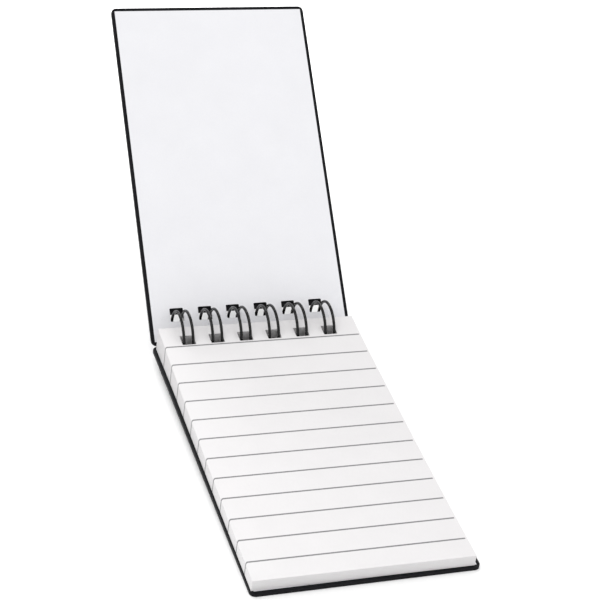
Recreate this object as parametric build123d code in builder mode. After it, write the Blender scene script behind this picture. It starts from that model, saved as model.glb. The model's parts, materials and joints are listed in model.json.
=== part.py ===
"""Top-bound pocket notebook: two wrapped board covers, ruled sheets and a twin-loop wire binding.

The pad lies open on a table. Its free edge and the underside of the wire rings carry it, so the rear
cover slopes gently up towards the binding, and the front cover leans back from the rings. The origin
is on the table, in the middle of the open notebook's footprint. +X runs along the binding, +Y from
the pad's free edge towards the binding, +Z up. Millimetres.
"""

import os
from math import asin, atan2, cos, degrees, hypot, radians, sin

from build123d import *

# Covers
cover_width = 60.5
cover_length = 104.0
cover_thickness = 1.05
cover_corner_radius = 1.6
wrap_thickness = 0.15
lining_thickness = 0.12
lining_margin = 1.0
turn_in_width = 12.0

# Sheets
sheet_count = 30
sheet_width = 58.5
sheet_length = 102.2
sheet_thickness = 0.1
sheet_gap = 0.005
lining_gap = 0.03
flat_sheets = 2
sheet_setback = 0.9
stack_rise_at_binding = 6.75
pad_turn = 0.45

# Binding holes: one row of square slots, cut through covers and sheets alike. The wrap's own slots
# are shorter, so that a strip of wrap shows at the end of each slot away from the binding edge.
loop_count = 6
loop_pitch = 25.4 / 3
loop_row_shift = -0.7
slot_size = 4.0
slot_corner_radius = 0.3
slot_from_rear_edge = 6.7
slot_from_front_edge = 8.6
wrap_slot_length = 2.3

# Twin-loop wire
wire_radius = 0.42
ring_radius = 7.1
ring_inside_edge = 0.9
ring_height = 4.8
twin_spacing = 2.7
spine_bend_radius = 0.8
spine_angle = -60.0
tip_gap = 1.2
end_stub = 1.2

# Pose: how far the front cover has been turned open, measured from the rear cover's own plane.
# Its binding edge hangs a little past the ring axis, because the slots are longer than the wire.
open_angle = 138.0
closed_clearance = 0.12
front_edge_past_ring = 1.6

# Where the ring axis runs, measured in the rear cover's own plane
ring_y = cover_length - ring_inside_edge
ring_distance = hypot(ring_y, ring_height)

# The free edge and the rings both touch the table, which tilts the pad
pad_tilt = degrees(asin((ring_radius + wire_radius) / ring_distance) - atan2(ring_height, ring_y))

# The stack is tight at its free edge and bends up towards the binding. The closed front cover lies
# along the chord from the top sheet's free edge to its binding edge.
stack_at_free_edge = sheet_count * (sheet_thickness + sheet_gap)
bend_rise = stack_rise_at_binding - stack_at_free_edge
chord_angle = degrees(atan2(bend_rise, sheet_length))
chord_height = (
    cover_thickness
    + stack_rise_at_binding
    + (sheet_setback - ring_inside_edge) * bend_rise / sheet_length
)
lining_from_ring = (chord_height - ring_height) * cos(radians(chord_angle)) + closed_clearance
outer_face_from_ring = lining_from_ring + cover_thickness

# The open front cover's direction above the horizontal
lean = 180.0 - open_angle + pad_tilt

# Ring axis and the footprint's middle, in the table's frame
free_edge_to_ring = ring_y * cos(radians(pad_tilt)) - ring_height * sin(radians(pad_tilt))
ring_axis_height = ring_radius + wire_radius
front_reach = (
    outer_face_from_ring * sin(radians(lean))
    + (cover_length - front_edge_past_ring) * cos(radians(lean))
)
back_reach = cover_thickness * sin(radians(pad_tilt))
footprint_middle = (free_edge_to_ring + front_reach - back_reach) / 2
ring_axis_y = free_edge_to_ring - footprint_middle


def tilted_plane(y, z, angle):
    """A plane along X whose own Y direction rises at the given angle above the table."""
    return Plane(
        origin=(0, y, z),
        x_dir=(1, 0, 0),
        z_dir=(0, -sin(radians(angle)), cos(radians(angle))),
    )


def slot_centres():
    """Where the binding slots and the wire's loops stand along X."""
    first = loop_row_shift - loop_pitch * (loop_count - 1) / 2
    return [first + number * loop_pitch for number in range(loop_count)]


def cover_outline(shrink, middle_y, row_y, corner):
    """One layer of a cover: a rectangle shrunk on all sides, with the slots cut out."""
    with Locations((0, middle_y)):
        width = cover_width - 2 * shrink
        length = cover_length - 2 * shrink
        if corner > 0:
            RectangleRounded(width, length, corner)
        else:
            Rectangle(width, length)
    for slot_x in slot_centres():
        with Locations((slot_x, row_y)):
            RectangleRounded(slot_size, slot_size, slot_corner_radius, mode=Mode.SUBTRACT)


def make_board(plane, middle_y, row_y):
    """Board core: a slab inside the wrap, with its middle standing level with the turned-in edges."""
    slab = cover_thickness - lining_thickness - 2 * wrap_thickness
    with BuildPart() as board:
        with BuildSketch(plane.offset(wrap_thickness)):
            cover_outline(wrap_thickness, middle_y, row_y, cover_corner_radius - wrap_thickness)
        extrude(amount=slab)
        with BuildSketch(plane.offset(wrap_thickness + slab)):
            cover_outline(turn_in_width, middle_y, row_y, 0)
        extrude(amount=wrap_thickness)
    return board.part


def make_wrap(plane, middle_y, row_y, binding_side):
    """Wrap: the outer face, the edges and the turned-in margins, as one thin skin round the board."""
    height = cover_thickness - lining_thickness
    strip_y = row_y - binding_side * wrap_slot_length / 2
    with BuildPart() as wrap:
        with BuildSketch(plane):
            cover_outline(0, middle_y, row_y, cover_corner_radius)
        extrude(amount=height)
        with BuildSketch(plane.offset(wrap_thickness)):
            with Locations((0, middle_y)):
                RectangleRounded(
                    cover_width - 2 * wrap_thickness,
                    cover_length - 2 * wrap_thickness,
                    cover_corner_radius - wrap_thickness,
                )
        extrude(amount=height - 2 * wrap_thickness, mode=Mode.SUBTRACT)
        with BuildSketch(plane.offset(height - wrap_thickness)):
            with Locations((0, middle_y)):
                Rectangle(cover_width - 2 * turn_in_width, cover_length - 2 * turn_in_width)
        extrude(amount=wrap_thickness, mode=Mode.SUBTRACT)
        with BuildSketch(plane):
            for slot_x in slot_centres():
                with Locations((slot_x, strip_y)):
                    Rectangle(slot_size, slot_size - wrap_slot_length)
        extrude(amount=wrap_thickness)
    return wrap.part


def make_lining(plane, middle_y, row_y):
    """Lining: a square-cornered sheet pasted over the turn-ins, inside a narrow margin of wrap."""
    with BuildPart() as lining:
        with BuildSketch(plane.offset(cover_thickness - lining_thickness)):
            cover_outline(lining_margin, middle_y, row_y, 0)
        extrude(amount=lining_thickness)
    return lining.part


def make_cover(name, plane, row_y, binding_side):
    """One cover's three layers, written as separate parts. The side is +1 if the binding edge is at +Y."""
    middle_y = cover_length / 2
    layers = {
        "board": make_board(plane, middle_y, row_y),
        "wrap": make_wrap(plane, middle_y, row_y, binding_side),
        "lining": make_lining(plane, middle_y, row_y),
    }
    for layer, part in layers.items():
        part.label = f"{name}_{layer}"
        export_step(part, f"parts/{name}_{layer}.step")


def make_sheet(number):
    """One ruled sheet, turned slightly on the wire and bent up towards the binding."""
    share = (number - 1) / sheet_count
    rise = share * bend_rise if number > flat_sheets else 0
    free_edge_y = cover_length - sheet_setback - sheet_length
    free_edge_z = cover_thickness + lining_gap + share * stack_at_free_edge
    along = radians(pad_tilt)
    row_y = cover_length - slot_from_rear_edge - free_edge_y
    flat_plane = tilted_plane(
        free_edge_y * cos(along) - free_edge_z * sin(along) - footprint_middle,
        free_edge_y * sin(along) + free_edge_z * cos(along),
        pad_tilt,
    )
    turned_plane = flat_plane * Plane((loop_row_shift, row_y, 0)) * Plane(
        Location((0, 0, 0), (0, 0, -pad_turn))
    )
    side_plane = turned_plane * Plane(
        origin=(-loop_row_shift, -row_y, 0), x_dir=(0, 1, 0), z_dir=(1, 0, 0)
    )
    with BuildPart() as sheet:
        with BuildSketch(side_plane):
            with BuildLine():
                if rise > 0:
                    bend_radius = sheet_length**2 / (2 * rise)
                    bend = degrees(asin(sheet_length / bend_radius))
                    lower = CenterArc((0, bend_radius), bend_radius, -90, bend)
                    upper = CenterArc((0, bend_radius), bend_radius - sheet_thickness, -90, bend)
                else:
                    lower = Line((0, 0), (sheet_length, 0))
                    upper = Line((0, sheet_thickness), (sheet_length, sheet_thickness))
                Line(lower @ 0, upper @ 0)
                Line(lower @ 1, upper @ 1)
            make_face()
        extrude(amount=sheet_width / 2, both=True)
        with BuildSketch(flat_plane.offset(-slot_size)):
            for slot_x in slot_centres():
                with Locations((slot_x, row_y)):
                    RectangleRounded(slot_size, slot_size, slot_corner_radius)
        extrude(amount=slot_size + stack_rise_at_binding, mode=Mode.SUBTRACT)
    sheet.part.label = f"sheet_{number:02d}"
    export_step(sheet.part, f"parts/sheet_{number:02d}.step")


def ring_point(angle, radius):
    """A point on a circle about the ring axis, at x = 0."""
    return Vector(
        0,
        ring_axis_y + radius * cos(radians(angle)),
        ring_axis_height + radius * sin(radians(angle)),
    )


def ring_tangent(angle):
    """The direction of growing angle along the ring."""
    return Vector(0, -sin(radians(angle)), cos(radians(angle)))


def make_hairpin():
    """One finger of the wire comb at x = 0: twin rings, a round tip and the bends at its root."""
    root_angle = spine_angle + 360 - degrees(spine_bend_radius / ring_radius)
    tip_angle = spine_angle + degrees((tip_gap + twin_spacing / 2) / ring_radius)
    half = twin_spacing / 2
    along_x = Vector(1, 0, 0)
    radial = ring_point(root_angle, 1) - ring_point(root_angle, 0)
    with BuildPart() as hairpin:
        for side in (-1, 1):
            start = ring_point(tip_angle, ring_radius) + along_x * (side * half)
            ring_axis = Axis((0, ring_axis_y, ring_axis_height), (1, 0, 0))
            with BuildSketch(Plane(origin=start, x_dir=(1, 0, 0), z_dir=ring_tangent(tip_angle))):
                Circle(wire_radius)
            revolve(axis=ring_axis, revolution_arc=root_angle - tip_angle)
            root = ring_point(root_angle, ring_radius) + along_x * (side * half)
            bend_centre = root + along_x * (side * spine_bend_radius)
            with BuildSketch(Plane(origin=root, x_dir=(1, 0, 0), z_dir=ring_tangent(root_angle))):
                Circle(wire_radius)
            revolve(axis=Axis(bend_centre, radial * side), revolution_arc=90)
        tip = ring_point(tip_angle, ring_radius)
        tip_radial = ring_point(tip_angle, 1) - ring_point(tip_angle, 0)
        with BuildSketch(
            Plane(origin=tip + along_x * half, x_dir=(1, 0, 0), z_dir=-ring_tangent(tip_angle))
        ):
            Circle(wire_radius)
        revolve(axis=Axis(tip, tip_radial), revolution_arc=180)
    return hairpin.part


def make_binding_wire():
    """The whole comb: a hairpin for each slot, joined at the roots by straight runs of the spine."""
    hairpin = make_hairpin()
    root_angle = spine_angle + 360 - degrees(spine_bend_radius / ring_radius)
    spine = ring_point(root_angle, ring_radius) + ring_tangent(root_angle) * spine_bend_radius
    loops = slot_centres()
    reach = twin_spacing / 2 + spine_bend_radius
    with BuildPart() as wire:
        for loop_x in loops:
            with Locations((loop_x, 0, 0)):
                add(hairpin)
            run = loop_pitch - 2 * reach
            if loop_x == loops[-1]:
                run = end_stub
            with BuildSketch(Plane.YZ.offset(loop_x + reach)):
                with Locations((spine.Y, spine.Z)):
                    Circle(wire_radius)
            extrude(amount=run)
        with BuildSketch(Plane.YZ.offset(loops[0] - reach - end_stub)):
            with Locations((spine.Y, spine.Z)):
                Circle(wire_radius)
        extrude(amount=end_stub)
    wire.part.label = "binding_wire"
    export_step(wire.part, "parts/binding_wire.step")


os.makedirs("parts", exist_ok=True)

rear_plane = tilted_plane(-footprint_middle, 0, pad_tilt)
make_cover("rear_cover", rear_plane, cover_length - slot_from_rear_edge, 1)

front_plane = tilted_plane(
    ring_axis_y
    + outer_face_from_ring * sin(radians(lean))
    - front_edge_past_ring * cos(radians(lean)),
    ring_axis_height
    - outer_face_from_ring * cos(radians(lean))
    - front_edge_past_ring * sin(radians(lean)),
    lean,
)
make_cover("front_cover", front_plane, slot_from_front_edge, -1)

for sheet_number in range(1, sheet_count + 1):
    make_sheet(sheet_number)

make_binding_wire()

print(f"pad tilt {pad_tilt:.3f} deg, front cover leans back at {lean:.3f} deg above the table")
print(f"ring axis at y {ring_axis_y:.3f}, z {ring_axis_height:.3f}")
print(f"pad's free edge at y {-footprint_middle:.3f}, sheets' chord at {chord_angle:.3f} deg")
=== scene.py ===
"""Looks for the pocket notebook: wrapped covers, ruled paper, coated twin-loop wire, studio light."""

import json
import math

import bpy
from mathutils import Matrix, Vector


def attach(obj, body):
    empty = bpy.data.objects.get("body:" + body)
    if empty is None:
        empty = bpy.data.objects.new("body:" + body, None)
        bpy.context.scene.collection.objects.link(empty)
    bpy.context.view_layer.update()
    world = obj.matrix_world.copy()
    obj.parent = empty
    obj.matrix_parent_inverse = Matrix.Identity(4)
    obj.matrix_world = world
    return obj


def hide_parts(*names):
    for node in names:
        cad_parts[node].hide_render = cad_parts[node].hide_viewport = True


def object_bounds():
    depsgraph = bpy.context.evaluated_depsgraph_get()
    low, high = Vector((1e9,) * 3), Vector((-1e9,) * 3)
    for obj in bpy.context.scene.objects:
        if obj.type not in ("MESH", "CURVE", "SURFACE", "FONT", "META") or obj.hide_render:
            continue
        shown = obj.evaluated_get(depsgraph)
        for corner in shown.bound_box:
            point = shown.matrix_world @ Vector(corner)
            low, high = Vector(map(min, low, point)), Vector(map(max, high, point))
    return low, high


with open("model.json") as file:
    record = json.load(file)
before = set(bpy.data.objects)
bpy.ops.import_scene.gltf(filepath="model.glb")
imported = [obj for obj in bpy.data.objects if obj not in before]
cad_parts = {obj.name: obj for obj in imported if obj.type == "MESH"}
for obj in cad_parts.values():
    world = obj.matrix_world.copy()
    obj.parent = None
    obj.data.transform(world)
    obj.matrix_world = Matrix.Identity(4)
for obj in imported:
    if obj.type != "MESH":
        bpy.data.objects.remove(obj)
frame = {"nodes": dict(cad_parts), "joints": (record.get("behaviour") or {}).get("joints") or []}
cad_low, cad_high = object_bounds()

MM = 0.001

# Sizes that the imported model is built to
COVER_LENGTH = 104.0 * MM
RING_INSIDE_EDGE = 0.9 * MM
RING_HEIGHT = 4.8 * MM
SHEET_SETBACK = 0.9 * MM
TURN = Matrix.Rotation(math.radians(-0.45), 3, "Z")
LOOP_COUNT = 6
LOOP_PITCH = 25.4 / 3 * MM
LOOP_ROW_SHIFT = -0.7 * MM
SLOT_FROM_REAR_EDGE = 6.7 * MM
WIRE_RADIUS = 0.42 * MM
RING_RADIUS = 7.1 * MM
TWIN_SPACING = 2.7 * MM
SPINE_BEND = 0.8 * MM
SPINE_ANGLE = math.radians(-60)
TIP_GAP = 1.2 * MM
END_STUB = 1.2 * MM

# Ruling, measured from each sheet's binding edge
HEADER = 8.56 * MM
RULE_PITCH = 7.9 * MM
RULE_COUNT = 12
RULE_WIDTH = 0.5 * MM
LINE_LEFT = -29.25 * MM
LINE_RIGHT = 28.7 * MM
CURL = 0.9 * MM
CURL_POWER = 2.5

# Smoothness of the wire: steps round each arc of its centre line
BEND_STEPS = 8
ARC_STEPS = 96
TIP_STEPS = 16

WRAP_EDGE_ROUNDING = 0.12 * MM

# The stage and the camera
FLOOR_HALF_SIZE = 3.0
FLOOR_DROP = 0.02 * MM
CAMERA_PLACE = Vector((-145.25, -388.97, 279.68)) * MM
CAMERA_TURN = [math.radians(angle) for angle in (58.459, -6.556, -17.432)]
CAMERA_LENS = 104.64
CAMERA_SENSOR = 36

joints = {joint["name"]: joint for joint in frame["joints"]}
RING_AXIS = Vector(joints["front_cover_turn"]["pos_m"])


# --- geometry ------------------------------------------------------------------------------------


def slot_centres():
    """Where the slots and the wire's loops stand along X."""
    first = LOOP_ROW_SHIFT - LOOP_PITCH * (LOOP_COUNT - 1) / 2
    return [first + number * LOOP_PITCH for number in range(LOOP_COUNT)]


def mesh_from_curve(curve, name):
    """A smooth-shaded mesh object with the shape of a curve."""
    shape = bpy.data.objects.new(name + "_curve", curve)
    bpy.context.scene.collection.objects.link(shape)
    bpy.context.view_layer.update()
    depsgraph = bpy.context.evaluated_depsgraph_get()
    mesh = bpy.data.meshes.new_from_object(shape.evaluated_get(depsgraph))
    bpy.data.objects.remove(shape)
    mesh.name = name
    for polygon in mesh.polygons:
        polygon.use_smooth = True
    mesh.set_sharp_from_angle(angle=math.radians(40))
    piece = bpy.data.objects.new(name, mesh)
    bpy.context.scene.collection.objects.link(piece)
    return piece


def ring_point(angle, x=0.0):
    """A point on the ring's centre line."""
    return RING_AXIS + Vector((x, RING_RADIUS * math.cos(angle), RING_RADIUS * math.sin(angle)))


def ring_tangent(angle):
    """The direction of growing angle along the ring."""
    return Vector((0, -math.sin(angle), math.cos(angle)))


def root_bend(root, spine_x, towards):
    """The bend that leaves the spine at spine_x, towards +X or -X, and ends in one wire of a hairpin."""
    bend = []
    for step in range(BEND_STEPS + 1):
        turn = math.pi / 2 * (1 - step / BEND_STEPS)
        across = Vector((towards * SPINE_BEND * math.cos(turn), 0, 0))
        along = ring_tangent(root) * SPINE_BEND * math.sin(turn)
        bend.append(ring_point(root, spine_x) + across + along)
    return bend


def tip_bend(tip, x):
    """The half circle that joins the two wires of a hairpin at its tip, without its ends."""
    half = TWIN_SPACING / 2
    bend = []
    for step in range(1, TIP_STEPS):
        turn = math.pi * step / TIP_STEPS
        beyond = ring_tangent(tip) * half * math.sin(turn)
        bend.append(ring_point(tip, x - half * math.cos(turn)) - beyond)
    return bend


def wire_path():
    """The comb's whole centre line: every hairpin in turn, joined along the spine."""
    root = SPINE_ANGLE + 2 * math.pi - SPINE_BEND / RING_RADIUS
    tip = SPINE_ANGLE + (TIP_GAP + TWIN_SPACING / 2) / RING_RADIUS
    half = TWIN_SPACING / 2
    reach = half + SPINE_BEND
    spine = ring_point(root) + ring_tangent(root) * SPINE_BEND
    arc = [root + (tip - root) * step / ARC_STEPS for step in range(ARC_STEPS + 1)]
    loops = slot_centres()
    path = [spine + Vector((loops[0] - reach - END_STUB, 0, 0))]
    for x in loops:
        path += root_bend(root, x - reach, 1)
        path += [ring_point(angle, x - half) for angle in arc[1:]]
        path += tip_bend(tip, x)
        path += [ring_point(angle, x + half) for angle in reversed(arc)]
        path += reversed(root_bend(root, x + reach, -1)[:-1])
    path.append(spine + Vector((loops[-1] + reach + END_STUB, 0, 0)))
    return path


def build_wire():
    """The coated wire as one round tube along the comb's centre line."""
    curve = bpy.data.curves.new("binding_wire_curve", "CURVE")
    curve.dimensions = "3D"
    curve.bevel_depth = WIRE_RADIUS
    curve.bevel_resolution = 5
    curve.use_fill_caps = True
    path = wire_path()
    spline = curve.splines.new("POLY")
    spline.points.add(len(path) - 1)
    for point, place in zip(spline.points, path):
        point.co = (*place, 1)
    wire = mesh_from_curve(curve, "coated_wire")
    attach(wire, "wire")
    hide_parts("binding_wire")
    return wire


# --- materials -----------------------------------------------------------------------------------


class Shader:
    """A small node-tree writer round one Principled shader."""

    def __init__(self, name):
        self.material = bpy.data.materials.new(name)
        self.material.use_nodes = True
        self.tree = self.material.node_tree
        self.surface = self.tree.nodes["Principled BSDF"]
        self.place = self.node("ShaderNodeTexCoord").outputs["Object"]

    def node(self, kind, **settings):
        """A new node, with its properties set."""
        made = self.tree.nodes.new(kind)
        for key, value in settings.items():
            setattr(made, key, value)
        return made

    def feed(self, socket, value):
        """Links an output to a socket, or sets the socket's own value."""
        if isinstance(value, bpy.types.NodeSocket):
            self.tree.links.new(value, socket)
        else:
            socket.default_value = value

    def math(self, operation, first, second=0.0):
        """One step of arithmetic on outputs or numbers."""
        made = self.node("ShaderNodeMath", operation=operation)
        self.feed(made.inputs[0], first)
        self.feed(made.inputs[1], second)
        return made.outputs[0]

    def noise(self, scale, detail=3.0, roughness=0.5, stretch=None):
        """Noise of about one cell per 1/scale metre, drawn out along an axis by stretch."""
        place = self.place
        if stretch is not None:
            mapping = self.node("ShaderNodeMapping")
            mapping.inputs["Scale"].default_value = stretch
            self.feed(mapping.inputs["Vector"], place)
            place = mapping.outputs["Vector"]
        made = self.node("ShaderNodeTexNoise")
        self.feed(made.inputs["Vector"], place)
        made.inputs["Scale"].default_value = scale
        made.inputs["Detail"].default_value = detail
        made.inputs["Roughness"].default_value = roughness
        return made.outputs["Fac"]

    def spread(self, value, low, high, to_low=0.0, to_high=1.0):
        """Maps a range of values to another, clamped."""
        made = self.node("ShaderNodeMapRange")
        self.feed(made.inputs["Value"], value)
        made.inputs["From Min"].default_value = low
        made.inputs["From Max"].default_value = high
        made.inputs["To Min"].default_value = to_low
        made.inputs["To Max"].default_value = to_high
        return made.outputs["Result"]

    def mix(self, share, first, second):
        """Mixes two colours."""
        made = self.node("ShaderNodeMix", data_type="RGBA")
        self.feed(made.inputs["Factor"], share)
        for socket, colour in (("A", first), ("B", second)):
            target = [s for s in made.inputs if s.name == socket and s.type == "RGBA"][0]
            self.feed(target, (*colour, 1) if isinstance(colour, tuple) else colour)
        return [s for s in made.outputs if s.type == "RGBA"][0]

    def bump(self, height, distance, strength):
        """A normal raised by the height, of which 1 is worth the distance in metres."""
        made = self.node("ShaderNodeBump")
        made.inputs["Strength"].default_value = strength
        made.inputs["Distance"].default_value = distance
        self.feed(made.inputs["Height"], height)
        return made.outputs["Normal"]

    def measure(self, origin, direction):
        """How far a place is from the origin along the direction."""
        offset = self.node("ShaderNodeVectorMath", operation="SUBTRACT")
        self.feed(offset.inputs[0], self.place)
        offset.inputs[1].default_value = origin
        along = self.node("ShaderNodeVectorMath", operation="DOT_PRODUCT")
        self.feed(along.inputs[0], offset.outputs["Vector"])
        along.inputs[1].default_value = direction
        return along.outputs["Value"]

    def finish(self, colour, roughness, normal=None, specular=0.2, **uniform):
        """Joins everything to the surface, with any uniform values by their sockets' names."""
        self.surface.inputs["Specular IOR Level"].default_value = specular
        self.feed(self.surface.inputs["Base Color"], colour)
        self.feed(self.surface.inputs["Roughness"], roughness)
        if normal is not None:
            self.feed(self.surface.inputs["Normal"], normal)
        for name, value in uniform.items():
            self.surface.inputs[name.replace("_", " ")].default_value = value
        return self.material


def paper_grain(shader):
    """Fine fibres and soft clouding."""
    fibres = shader.noise(2600, 4, 0.6, stretch=(1, 0.35, 1))
    clouds = shader.noise(110, 3, 0.55)
    return fibres, clouds


def lining_material():
    """Cool white lining paper, faintly clouded."""
    shader = Shader("cover_lining_paper")
    fibres, clouds = paper_grain(shader)
    tone = shader.mix(shader.spread(clouds, 0.3, 0.7), (0.75, 0.75, 0.775), (0.77, 0.77, 0.795))
    colour = shader.mix(shader.spread(fibres, 0.35, 0.75, 0, 0.25), tone, (0.69, 0.69, 0.72))
    normal = shader.bump(fibres, 0.00003, 0.35)
    return shader.finish(colour, shader.spread(fibres, 0.3, 0.7, 0.62, 0.72), normal)


def ruling_ink(shader, line_origin, ruling):
    """How much ink of the ruled lines lies at a place, from 0 to 1."""
    across = shader.measure(line_origin, TURN @ Vector((1, 0, 0)))
    across = shader.math("ADD", across, LOOP_ROW_SHIFT)
    curl = shader.spread(across, LINE_LEFT, LINE_LEFT + CURL, 1.0, 0.0)
    curl = shader.math("MULTIPLY", shader.math("POWER", curl, CURL_POWER), CURL)
    down = shader.math("SUBTRACT", shader.measure(line_origin, ruling), curl)

    line = shader.math("DIVIDE", shader.math("SUBTRACT", down, HEADER), RULE_PITCH)
    nearest = shader.math("ROUND", line)
    away = shader.math("ABSOLUTE", shader.math("SUBTRACT", line, nearest))
    away = shader.math("MULTIPLY", away, RULE_PITCH)
    ink = shader.spread(away, RULE_WIDTH * 0.35, RULE_WIDTH * 0.65, 1.0, 0.0)

    after_first = shader.math("GREATER_THAN", nearest, -0.5)
    before_last = shader.math("LESS_THAN", nearest, RULE_COUNT - 0.5)
    left_of_end = shader.spread(across, LINE_RIGHT, LINE_RIGHT + 0.2 * MM, 1.0, 0.0)
    dashes = shader.spread(shader.noise(2200, 1, stretch=(0.2, 0.2, 1)), 0.42, 0.58, 0.1, 0.9)
    on_cut_side = shader.math("LESS_THAN", across, LINE_LEFT + 0.02 * MM)
    side_share = shader.math("SUBTRACT", 1.0, shader.math("MULTIPLY", on_cut_side, dashes))
    mottle = shader.spread(shader.noise(3000, 2), 0.25, 0.6, 0.78, 1.0)
    for share in (after_first, before_last, left_of_end, side_share, mottle):
        ink = shader.math("MULTIPLY", ink, share)
    return ink


def ruled_paper_material(line_origin, ruling):
    """Warm white paper with grey ruled lines across it, the same on faces and cut edges."""
    shader = Shader("ruled_paper")
    fibres, clouds = paper_grain(shader)
    tone = shader.mix(shader.spread(clouds, 0.3, 0.7), (0.675, 0.663, 0.668), (0.695, 0.683, 0.688))
    paper = shader.mix(shader.spread(fibres, 0.35, 0.75, 0, 0.2), tone, (0.63, 0.618, 0.622))
    colour = shader.mix(ruling_ink(shader, line_origin, ruling), paper, (0.17, 0.17, 0.175))
    normal = shader.bump(fibres, 0.000025, 0.3)
    return shader.finish(colour, shader.spread(fibres, 0.3, 0.7, 0.6, 0.72), normal)


def wrap_material():
    """Black wrap paper with a fine leather grain, rubbed a little paler in patches."""
    shader = Shader("black_wrap")
    cells = shader.node("ShaderNodeTexVoronoi", feature="F1")
    shader.feed(cells.inputs["Vector"], shader.place)
    cells.inputs["Scale"].default_value = 1700
    grain = shader.math("MULTIPLY", cells.outputs["Distance"], 0.7)
    fine = shader.math("MULTIPLY", shader.noise(5200, 3), 0.3)
    rub = shader.spread(shader.noise(150, 5, 0.7), 0.35, 0.8)
    colour = shader.mix(rub, (0.0065, 0.0065, 0.008), (0.010, 0.010, 0.012))
    roughness = shader.spread(rub, 0, 1, 0.5, 0.45)
    normal = shader.bump(shader.math("ADD", grain, fine), 0.00009, 0.5)
    return shader.finish(colour, roughness, normal, specular=0.08)


def board_material():
    """Grey-brown binder's board with pressed fibres."""
    shader = Shader("binders_board")
    fibres = shader.noise(1800, 5, 0.65, stretch=(1, 0.3, 2.5))
    colour = shader.mix(shader.spread(fibres, 0.3, 0.7), (0.045, 0.043, 0.041), (0.085, 0.08, 0.075))
    return shader.finish(colour, 0.85, shader.bump(fibres, 0.00006, 0.6))


def wire_material():
    """Glossy black nylon over steel, with a faint orange peel."""
    shader = Shader("nylon_coated_wire")
    peel = shader.noise(1500, 2)
    wear = shader.spread(shader.noise(420, 4, 0.6), 0.55, 0.75)
    colour = shader.mix(wear, (0.004, 0.004, 0.0045), (0.012, 0.012, 0.013))
    roughness = shader.spread(wear, 0, 1, 0.24, 0.36)
    normal = shader.bump(peel, 0.00003, 0.25)
    return shader.finish(colour, roughness, normal, Coat_Weight=0.12, Coat_Roughness=0.12)


def soften(piece, width):
    """Rounds a piece's sharp edges a little."""
    weld = piece.modifiers.new("weld", "WELD")
    weld.merge_threshold = 0.001 * MM
    bevel = piece.modifiers.new("soft_edges", "BEVEL")
    bevel.width = width
    bevel.segments = 2
    bevel.limit_method = "ANGLE"
    bevel.angle_limit = math.radians(50)
    bevel.harden_normals = False


def paint(nodes, material):
    """Assigns a material to every slot of the named CAD nodes."""
    for name in nodes:
        for place in frame["nodes"][name].material_slots:
            place.material = material


def sheets_ruling():
    """Where the ruling starts on the sheets, and its direction towards the free edge.

    The sheets are turned slightly about the middle of the row of slots.
    """
    free_edge_to_ring = COVER_LENGTH - RING_INSIDE_EDGE
    pad_tilt = math.asin(RING_AXIS.z / math.hypot(free_edge_to_ring, RING_HEIGHT))
    pad_tilt -= math.atan2(RING_HEIGHT, free_edge_to_ring)
    to_free_edge = Vector((0, -math.cos(pad_tilt), -math.sin(pad_tilt)))
    row_from_ring = SLOT_FROM_REAR_EDGE - RING_INSIDE_EDGE
    row_middle = RING_AXIS + Vector((LOOP_ROW_SHIFT, 0, 0)) + to_free_edge * row_from_ring
    ruling = TURN @ to_free_edge
    return row_middle - ruling * (SLOT_FROM_REAR_EDGE - SHEET_SETBACK), ruling


def build_looks():
    """The coated wire, and every CAD node's material."""
    wire = build_wire()
    wire.data.materials.append(wire_material())
    sheets = sorted(name for name in frame["nodes"] if name.startswith("sheet_"))
    paint(sheets, ruled_paper_material(*sheets_ruling()))
    paint(["front_cover_lining", "rear_cover_lining"], lining_material())
    paint(["front_cover_wrap", "rear_cover_wrap"], wrap_material())
    paint(["front_cover_board", "rear_cover_board"], board_material())
    for name in ("front_cover_wrap", "rear_cover_wrap"):
        soften(frame["nodes"][name], WRAP_EDGE_ROUNDING)


# --- stage, light and camera ---------------------------------------------------------------------


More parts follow.
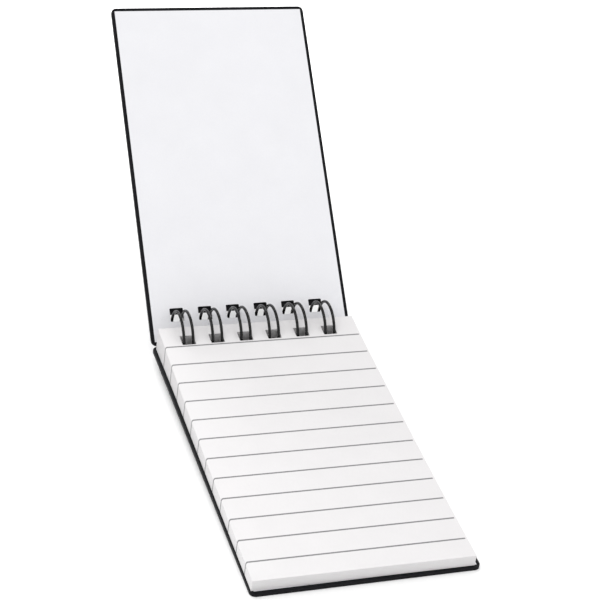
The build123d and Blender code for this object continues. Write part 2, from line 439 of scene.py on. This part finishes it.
def build_floor():
    """A plain pale floor, far larger than the view."""
    size = FLOOR_HALF_SIZE
    mesh = bpy.data.meshes.new("floor")
    corners = [(-size, -size, 0), (size, -size, 0), (size, size, 0), (-size, size, 0)]
    mesh.from_pydata(corners, [], [(0, 1, 2, 3)])
    floor = bpy.data.objects.new("floor", mesh)
    bpy.context.scene.collection.objects.link(floor)
    floor.location.z = cad_low[2] - FLOOR_DROP
    shader = Shader("studio_floor")
    tone = shader.mix(shader.noise(6, 2), (0.94, 0.94, 0.945), (0.95, 0.95, 0.95))
    mesh.materials.append(shader.finish(tone, 0.9))


def area_light(name, place, aim, size, power, colour=(1, 1, 1)):
    """A round soft light, turned towards its aim."""
    data = bpy.data.lights.new(name, "AREA")
    data.shape = "DISK"
    data.size = size
    data.energy = power
    data.color = colour
    light = bpy.data.objects.new(name, data)
    bpy.context.scene.collection.objects.link(light)
    light.location = place
    light.rotation_euler = (Vector(aim) - Vector(place)).to_track_quat("-Z", "Y").to_euler()


def build_light():
    """Even white surroundings and four soft lights."""
    world = bpy.data.worlds.new("studio")
    bpy.context.scene.world = world
    world.use_nodes = True
    background = world.node_tree.nodes["Background"]
    background.inputs["Color"].default_value = (1, 1, 1, 1)
    background.inputs["Strength"].default_value = 0.9
    area_light("key", (-0.4, -0.15, 0.9), (0, 0, 0.02), 0.7, 2.4, (1, 0.995, 0.985))
    area_light("back", (0.12, 0.6, 0.6), (0, 0.08, 0.02), 0.3, 1.3)
    area_light("under", (-0.1, 0.55, 0.2), (0, 0.04, 0), 0.3, 2.6)
    area_light("fill", (0.6, -0.45, 0.5), (0, 0, 0.03), 0.8, 0.8, (0.98, 0.99, 1))


def build_camera():
    """The camera, above and to the left of the pad's free edge."""
    data = bpy.data.cameras.new("camera")
    data.lens = CAMERA_LENS
    data.sensor_width = CAMERA_SENSOR
    data.clip_start = 0.01
    camera = bpy.data.objects.new("camera", data)
    bpy.context.scene.collection.objects.link(camera)
    camera.location = CAMERA_PLACE
    camera.rotation_euler = CAMERA_TURN
    bpy.context.scene.camera = camera


build_looks()
build_floor()
build_light()
build_camera()
bpy.context.scene.view_settings.view_transform = "Standard"
